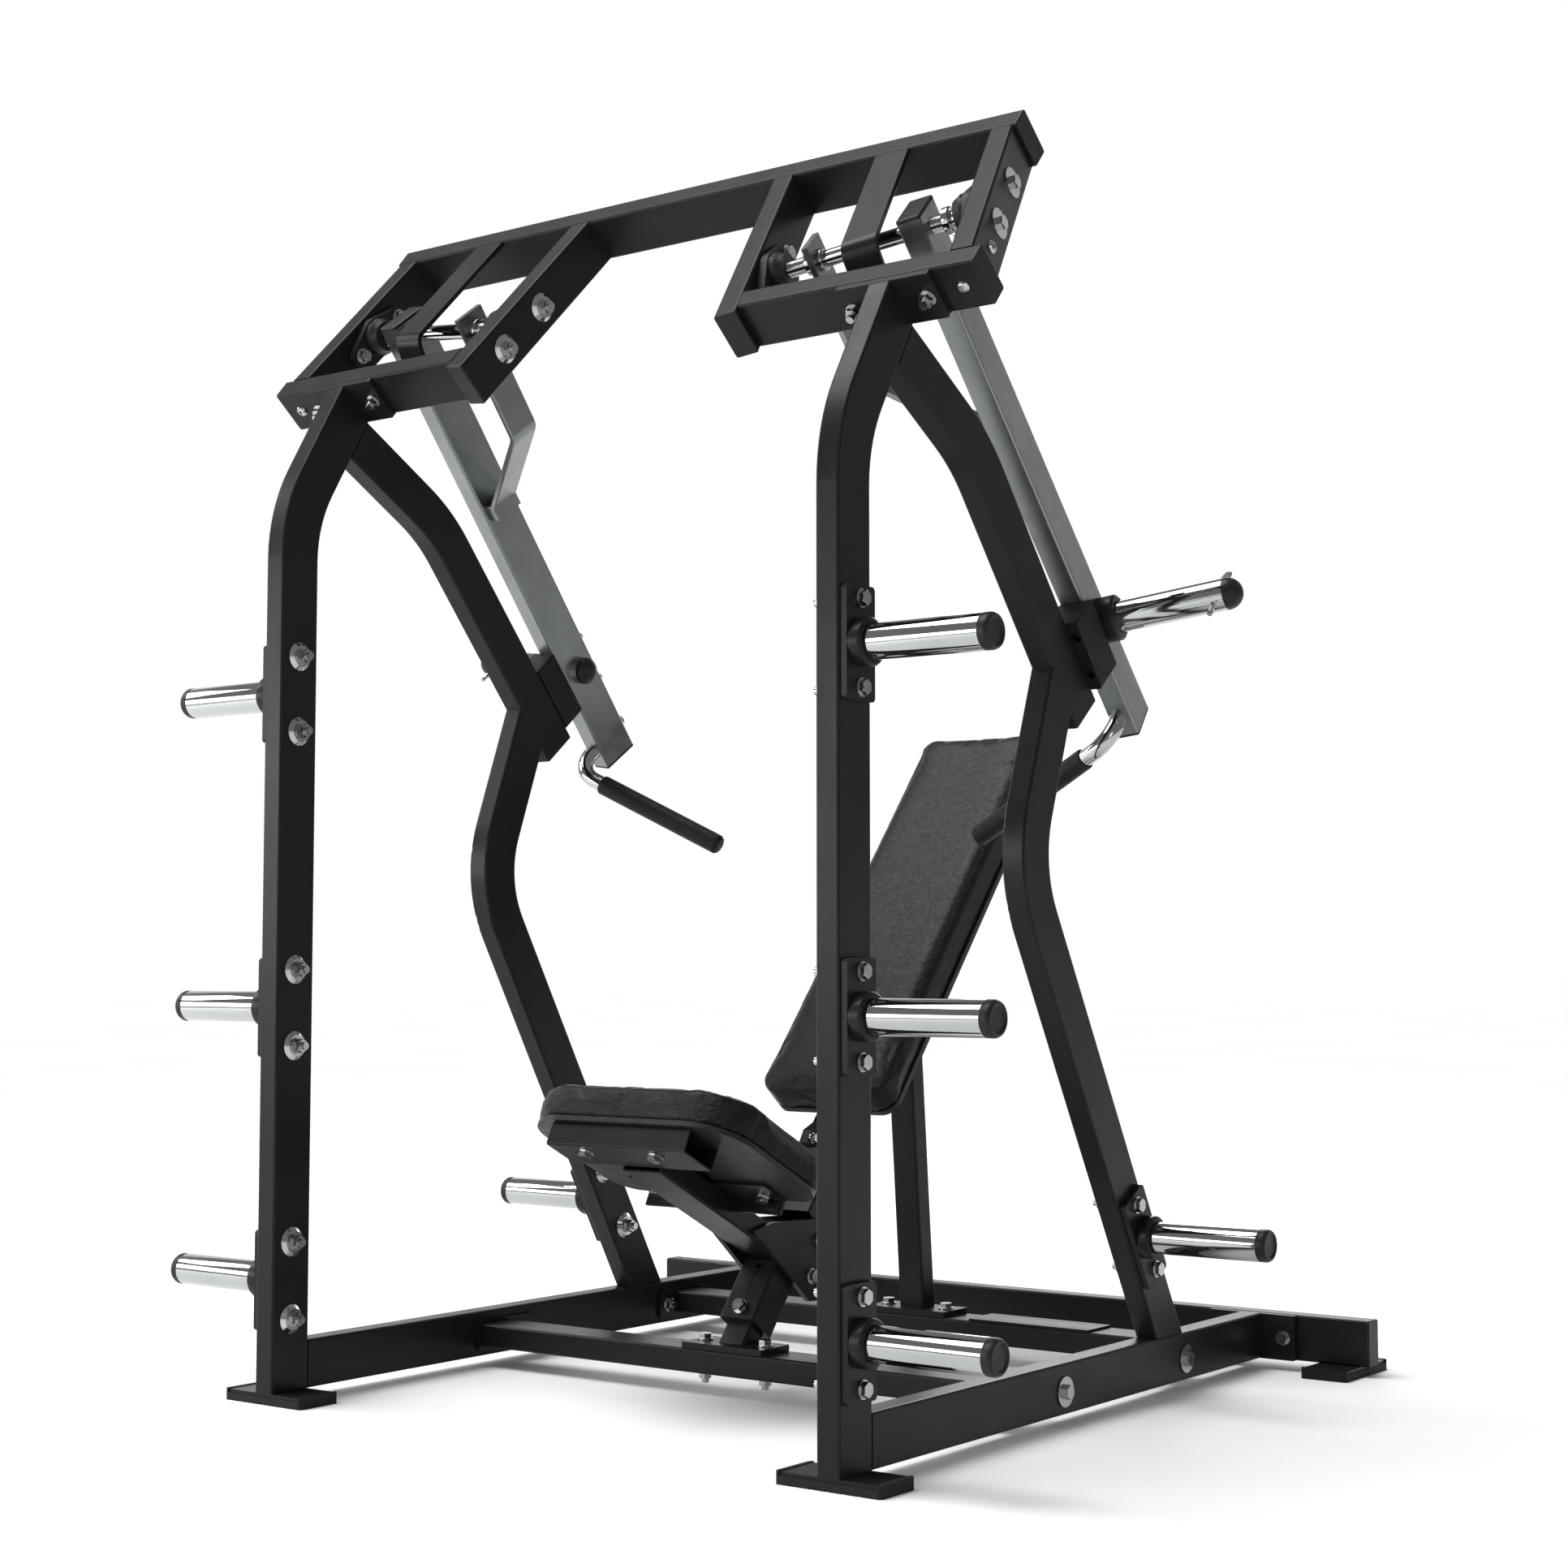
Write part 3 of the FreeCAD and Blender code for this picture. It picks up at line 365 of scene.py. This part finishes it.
def make_piece(shape, name, material, body, replaced, side=1, sharp=40.0):
    """Turn a mesh in millimetres, right-hand side, into a finished piece on its body."""
    bmesh.ops.remove_doubles(shape, verts=shape.verts, dist=0.001)
    for vertex in shape.verts:
        vertex.co = Vector((vertex.co.x * side, vertex.co.y, vertex.co.z)) * MM
    bmesh.ops.recalc_face_normals(shape, faces=shape.faces)
    mesh = bpy.data.meshes.new(name)
    shape.to_mesh(mesh)
    shape.free()
    mesh.shade_smooth()
    mesh.set_sharp_from_angle(angle=math.radians(sharp))
    mesh.materials.append(materials[material])
    piece = bpy.data.objects.new(name, mesh)
    bpy.context.scene.collection.objects.link(piece)
    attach(piece, body)
    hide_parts(replaced)


# ---------------------------------------------------------------- storage horns
HORN_BRACKET_X = 558.0
UPRIGHT_MIDDLE = 38.0
HORN_HEIGHTS = (1113.0, 615.0, 189.0)
LEG_CORNER = Vector((0.0, 490.3, 826.8))
LEG_DIR = Vector((0.0, 0.5, -math.sqrt(0.75)))
LEG_HORN_AT = 657.0
COLLAR_OUTLINE = [(24.45, 10), (33.5, 10), (33.5, 27), (30.5, 30), (24.45, 30)]
HORN_OUTLINE = [(21, 10), (24.4, 10), (24.4, 31), (25, 31), (25, 206.6), (21, 206.6)]
HORN_CAP_OUTLINE = [(0, 200), (20.9, 200), (20.9, 206.8), (25, 206.8), (25, 217), (22.5, 222),
                    (18.5, 222), (17.5, 220.2), (16.5, 219.6), (0, 219.6)]


def make_horns():
    places = [Vector((HORN_BRACKET_X, UPRIGHT_MIDDLE, height)) for height in HORN_HEIGHTS]
    leg = LEG_CORNER + LEG_DIR * LEG_HORN_AT
    places.append(Vector((HORN_BRACKET_X, leg.y, leg.z)))
    kinds = (
        ("horn_collars", COLLAR_OUTLINE, 1.2, "frame_paint"),
        ("storage_horns", HORN_OUTLINE, 0.4, "chrome"),
        ("horn_end_caps", HORN_CAP_OUTLINE, 1.6, "black_plastic"),
    )
    for node, outline, corner, material in kinds:
        shape = bmesh.new()
        for place in places:
            for side in (1, -1):
                origin = Vector((place.x * side, place.y - DEPTH_CENTRE, place.z))
                add_turned(shape, rounded(outline, corner), origin, X_AXIS * side)
        make_piece(shape, node + "_turned", material, "frame", node, sharp=50.0)


# ---------------------------------------------------------------- press arm pieces
ARM_MIDDLE = 293.0
ARM_TOP = -28.0
ARM_END = 878.0
SLEEVE_AT = 690.0
SLEEVE_OFFSET = -3.0
SLEEVE_END = 518.0
SHAFT_RADIUS = 12.5
THREAD_PITCH = 3.2
PLAIN_STRETCHES = ((39.5, 72.0), (131.0, 311.0), (342.0, 385.5))
THREADED_STRETCHES = ((72.0, 104.0), (311.0, 331.0))
LOCK_NUTS = ((20.0, 104.0, 115.0), (17.0, 125.0, 131.0), (20.0, 331.0, 342.0))


def sleeve_point(a):
    return on_arm(a, SLEEVE_OFFSET, SLEEVE_AT)


def ball_outline(radius, height):
    """Half of a rubber ball end, flat at height zero."""
    points = [(0, -1.0), (radius, -1.0)]
    for step in range(13):
        angle = math.radians(7.5 * step)
        points.append((radius * math.cos(angle), height * math.sin(angle)))
    points[-1] = (0, height)
    return points


def make_sleeve(label, side):
    shape = bmesh.new()
    add_turned(shape, rounded([(0, 262), (24, 262), (24, 300), (0, 300)], 1.0), sleeve_point(0), shaft_dir)
    outer = [(0, 300), (25, 300), (25, SLEEVE_END - 0.3), (0, SLEEVE_END - 0.3)]
    add_turned(shape, rounded(outer, 0.6), sleeve_point(0), shaft_dir)
    body = "press_arm_" + label
    make_piece(shape, "weight_sleeve_turned_" + label, "chrome", body, "weight_sleeve_" + label, side)
    shape = bmesh.new()
    collar = [(25.02, 312), (36.5, 312), (36.5, 339), (32, 342), (25.02, 342)]
    add_turned(shape, rounded(collar, 1.6), sleeve_point(0), shaft_dir)
    make_piece(shape, "sleeve_collar_turned_" + label, "frame_paint", body, "sleeve_collar_" + label, side)


def make_arm_caps(label, side):
    shape = bmesh.new()
    add_turned(shape, ball_outline(25.0, 25.0), sleeve_point(SLEEVE_END), shaft_dir)
    add_turned(shape, ball_outline(24.0, 16.0), sleeve_point(262.0), shaft_dir * -1)
    for along, axis in ((ARM_TOP, arm_down * -1), (ARM_END, arm_down)):
        add_plug(shape, on_arm(ARM_MIDDLE, 0, along), axis, shaft_dir, 38.0, 76.0, 5.0)
    body = "press_arm_" + label
    make_piece(shape, "arm_caps_moulded_" + label, "black_plastic", body, "arm_caps_" + label, side)


def make_shaft(label, side):
    """Pivot shaft with threaded stretches and its round lock nuts."""
    shape = bmesh.new()
    origin = on_arm(0, 0, 0)
    for low, high in PLAIN_STRETCHES:
        plain = [(0, low), (SHAFT_RADIUS, low), (SHAFT_RADIUS, high), (0, high)]
        add_turned(shape, rounded(plain, 0.5), origin, shaft_dir)
    for low, high in THREADED_STRETCHES:
        add_thread(shape, SHAFT_RADIUS, THREAD_PITCH, low, high, origin, shaft_dir)
    for radius, low, high in LOCK_NUTS:
        nut = [(8, low), (radius, low), (radius, high), (8, high)]
        add_turned(shape, rounded(nut, 1.6), origin, shaft_dir)
    body = "press_arm_" + label
    make_piece(shape, "pivot_shaft_threaded_" + label, "chrome", body, "pivot_shaft_" + label, side, 60.0)


def make_handle(label, side):
    """Chrome bar leaving the arm's front face and turning in, with a moulded grip."""
    corner = on_arm(291.0, 93.5, 847.0)
    leave = arm_vector(0.0, 55.5, 4.0).normalized()
    inward = arm_vector(-0.903, -0.015, 0.429).normalized()
    square = leave.cross(inward).normalized()
    half = leave.angle(inward) / 2
    bend = 45.0
    reach = bend * math.tan(half)
    centre = corner - leave * reach + (inward - leave * inward.dot(leave)).normalized() * bend
    path = [corner - leave * 56.5]
    for step in range(33):
        angle = 2 * half * step / 32
        spoke = (corner - leave * reach - centre).normalized()
        path.append(centre + (spoke * math.cos(angle) + leave * math.sin(angle)) * bend)
    path.append(corner + inward * 90.0)
    shape = bmesh.new()
    add_sweep(shape, path, 14.0, square)
    body = "press_arm_" + label
    make_piece(shape, "handle_bar_bent_" + label, "chrome", body, "handle_bar_" + label, side)
    shape = bmesh.new()
    outline = [(14.1, 62), (16.2, 62), (17.5, 64.5), (17.5, 316), (17.5, 320), (14.5, 324.5), (9, 326),
               (0, 326), (0, 312), (14.1, 312)]
    add_turned(shape, rounded(outline, 1.5), corner, inward)
    make_piece(shape, "handle_grip_moulded_" + label, "black_rubber", body, "handle_grip_" + label, side)


# ---------------------------------------------------------------- cushions
def make_cushion(node, facing, thickness, voxel, inset, cap):
    """Swell a slightly smaller copy of the cushion, keeping it flat where it lies on its board."""
    source = nodes[node]
    cushion = bpy.data.objects.new(node + "_sewn", source.data.copy())
    bpy.context.scene.collection.objects.link(cushion)
    low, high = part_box(node)
    middle = (low + high) / 2
    facing = facing.normalized()
    mesh = cushion.data
    heights = [vertex.co.dot(facing) for vertex in mesh.vertices]
    base = min(heights)
    remesh = cushion.modifiers.new("remesh", "REMESH")
    remesh.mode = "VOXEL"
    remesh.voxel_size = voxel
    graph = bpy.context.evaluated_depsgraph_get()
    mesh = bpy.data.meshes.new_from_object(cushion.evaluated_get(graph))
    cushion.modifiers.clear()
    cushion.data = mesh
    flat = middle - facing * (middle.dot(facing) - base)
    spans = []
    side_axis = X_AXIS
    long_axis = facing.cross(side_axis).normalized()
    for axis in (side_axis, long_axis):
        reach = [(vertex.co - flat).dot(axis) for vertex in mesh.vertices]
        spans.append(((max(reach) - min(reach)) / 2, (max(reach) + min(reach)) / 2))
    for vertex in mesh.vertices:
        offset = vertex.co - flat
        moved = flat.copy()
        for axis, (span, shift) in zip((side_axis, long_axis), spans):
            moved += axis * ((offset.dot(axis) - shift) * (span - inset) / span + shift)
        moved += facing * (offset.dot(facing) * (thickness - inset) / thickness)
        vertex.co = moved
    start = [vertex.co.copy() for vertex in mesh.vertices]
    swell(cushion)
    for vertex, before in zip(cushion.data.vertices, start):
        step = vertex.co - before
        size = step.length
        if size > 0:
            step *= cap * (1 - math.exp(-size / cap)) / size
        if step.dot(facing) < 0:
            step -= facing * step.dot(facing)
        vertex.co = before + step
    smooth = cushion.modifiers.new("subdivide", "SUBSURF")
    smooth.levels = 1
    smooth.render_levels = 1
    graph = bpy.context.evaluated_depsgraph_get()
    mesh = bpy.data.meshes.new_from_object(cushion.evaluated_get(graph))
    cushion.modifiers.clear()
    cushion.data = mesh
    mesh.shade_smooth()
    mesh.materials.clear()
    mesh.materials.append(materials["black_leather"])
    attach(cushion, "frame")
    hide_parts(node)


def swell(cushion):
    """Blow the cover out with cloth pressure for twenty frames and keep the result."""
    cloth = cushion.modifiers.new("cloth", "CLOTH")
    settings = cloth.settings
    settings.quality = 5
    settings.mass = 0.3
    settings.tension_stiffness = 20.0
    settings.compression_stiffness = 20.0
    settings.bending_stiffness = 0.6
    settings.use_pressure = True
    settings.uniform_pressure_force = 4.0
    settings.effector_weights.gravity = 0.0
    scene = bpy.context.scene
    for number in range(1, 21):
        scene.frame_set(number)
    graph = bpy.context.evaluated_depsgraph_get()
    mesh = bpy.data.meshes.new_from_object(cushion.evaluated_get(graph))
    cushion.modifiers.clear()
    cushion.data = mesh
    scene.frame_set(1)


SEAT_TILT = math.radians(27.0)
BACK_LEAN = math.radians(39.9)


def make_cushions():
    seat_up = Vector((0.0, math.sin(SEAT_TILT), math.cos(SEAT_TILT)))
    back_front = Vector((0.0, -math.cos(BACK_LEAN), math.sin(BACK_LEAN)))
    make_cushion("seat_pad", seat_up, 0.058, 0.005, 0.006, 0.010)
    make_cushion("back_pad", back_front, 0.060, 0.006, 0.006, 0.010)


# ---------------------------------------------------------------- stage
def make_stage():
    mesh = bpy.data.meshes.new("floor")
    mesh.from_pydata([(-30, -30, 0), (30, -30, 0), (30, 30, 0), (-30, 30, 0)], [], [(0, 1, 2, 3)])
    floor = bpy.data.objects.new("floor", mesh)
    bpy.context.scene.collection.objects.link(floor)
    material, tree, shader = new_material("floor_paper")
    colour = mixed_colour(tree, noise(tree, 0.7), (0.86, 0.86, 0.86), (0.9, 0.9, 0.9))
    tree.links.new(colour, shader.inputs["Base Color"])
    shader.inputs["Roughness"].default_value = 0.85
    shader.inputs["Specular IOR Level"].default_value = 0.2
    mesh.materials.append(material)


def make_world():
    """White studio walls that dim overhead, to the right and towards the front."""
    world = bpy.data.worlds.new("studio")
    bpy.context.scene.world = world
    world.use_nodes = True
    tree = world.node_tree
    background = tree.nodes["Background"]
    coordinates = tree.nodes.new("ShaderNodeTexCoord")
    split = tree.nodes.new("ShaderNodeSeparateXYZ")
    tree.links.new(coordinates.outputs["Generated"], split.inputs["Vector"])
    falls = []
    for channel, bright, dim in (("X", 0.0, 0.45), ("Y", 0.25, -0.05), ("Z", 0.4, 0.6)):
        fall = tree.nodes.new("ShaderNodeMapRange")
        fall.interpolation_type = "SMOOTHSTEP"
        fall.inputs["From Min"].default_value = bright
        fall.inputs["From Max"].default_value = dim
        fall.inputs["To Min"].default_value = 1.0
        fall.inputs["To Max"].default_value = 0.28
        tree.links.new(split.outputs[channel], fall.inputs["Value"])
        falls.append(fall.outputs["Result"])
    level = falls[0]
    for other in falls[1:]:
        lower = tree.nodes.new("ShaderNodeMath")
        lower.operation = "MINIMUM"
        tree.links.new(level, lower.inputs[0])
        tree.links.new(other, lower.inputs[1])
        level = lower.outputs["Value"]
    tree.links.new(level, background.inputs["Color"])
    background.inputs["Strength"].default_value = 1.0


def sun_light(name, place, strength, spread):
    """Even, very soft light from one direction, so the floor stays white to the horizon."""
    data = bpy.data.lights.new(name, "SUN")
    data.energy = strength
    data.angle = math.radians(spread)
    light = bpy.data.objects.new(name, data)
    light.rotation_mode = "QUATERNION"
    light.rotation_quaternion = (-Vector(place)).to_track_quat("-Z", "Y")
    bpy.context.scene.collection.objects.link(light)


def area_light(name, place, target, width, height, power):
    data = bpy.data.lights.new(name, "AREA")
    data.shape = "RECTANGLE"
    data.size = width
    data.size_y = height
    data.energy = power
    light = bpy.data.objects.new(name, data)
    light.location = place
    light.rotation_mode = "QUATERNION"
    light.rotation_quaternion = (Vector(target) - Vector(place)).to_track_quat("-Z", "Y")
    bpy.context.scene.collection.objects.link(light)


def make_camera():
    data = bpy.data.cameras.new("camera")
    data.lens = 57.44
    data.sensor_width = 36.0
    camera = bpy.data.objects.new("camera", data)
    camera.location = (2.4576, -3.3736, 0.690)
    camera.rotation_euler = (math.radians(94.022), 0.0, math.radians(36.412))
    bpy.context.scene.collection.objects.link(camera)
    bpy.context.scene.camera = camera


finish_nodes()
make_horns()
for label, side in SIDES:
    make_sleeve(label, side)
    make_arm_caps(label, side)
    make_shaft(label, side)
    make_handle(label, side)
make_cushions()
make_stage()
make_world()
sun_light("overhead", (-0.35, -0.25, 1.0), 2.8, 40.0)
area_light("softbox", (-3.0, -4.0, 1.3), (0, 0, 1.0), 5.0, 1.3, 110.0)
area_light("key", (-4.4, -1.6, 3.2), (0, 0, 1.0), 1.6, 1.6, 60.0)
area_light("fill", (3.8, -2.6, 1.9), (0, 0, 0.9), 1.2, 1.2, 10.0)
area_light("rear", (-1.5, 4.5, 2.6), (0, 0, 1.0), 2.0, 2.0, 60.0)
make_camera()
bpy.context.scene.view_settings.view_transform = "Standard"
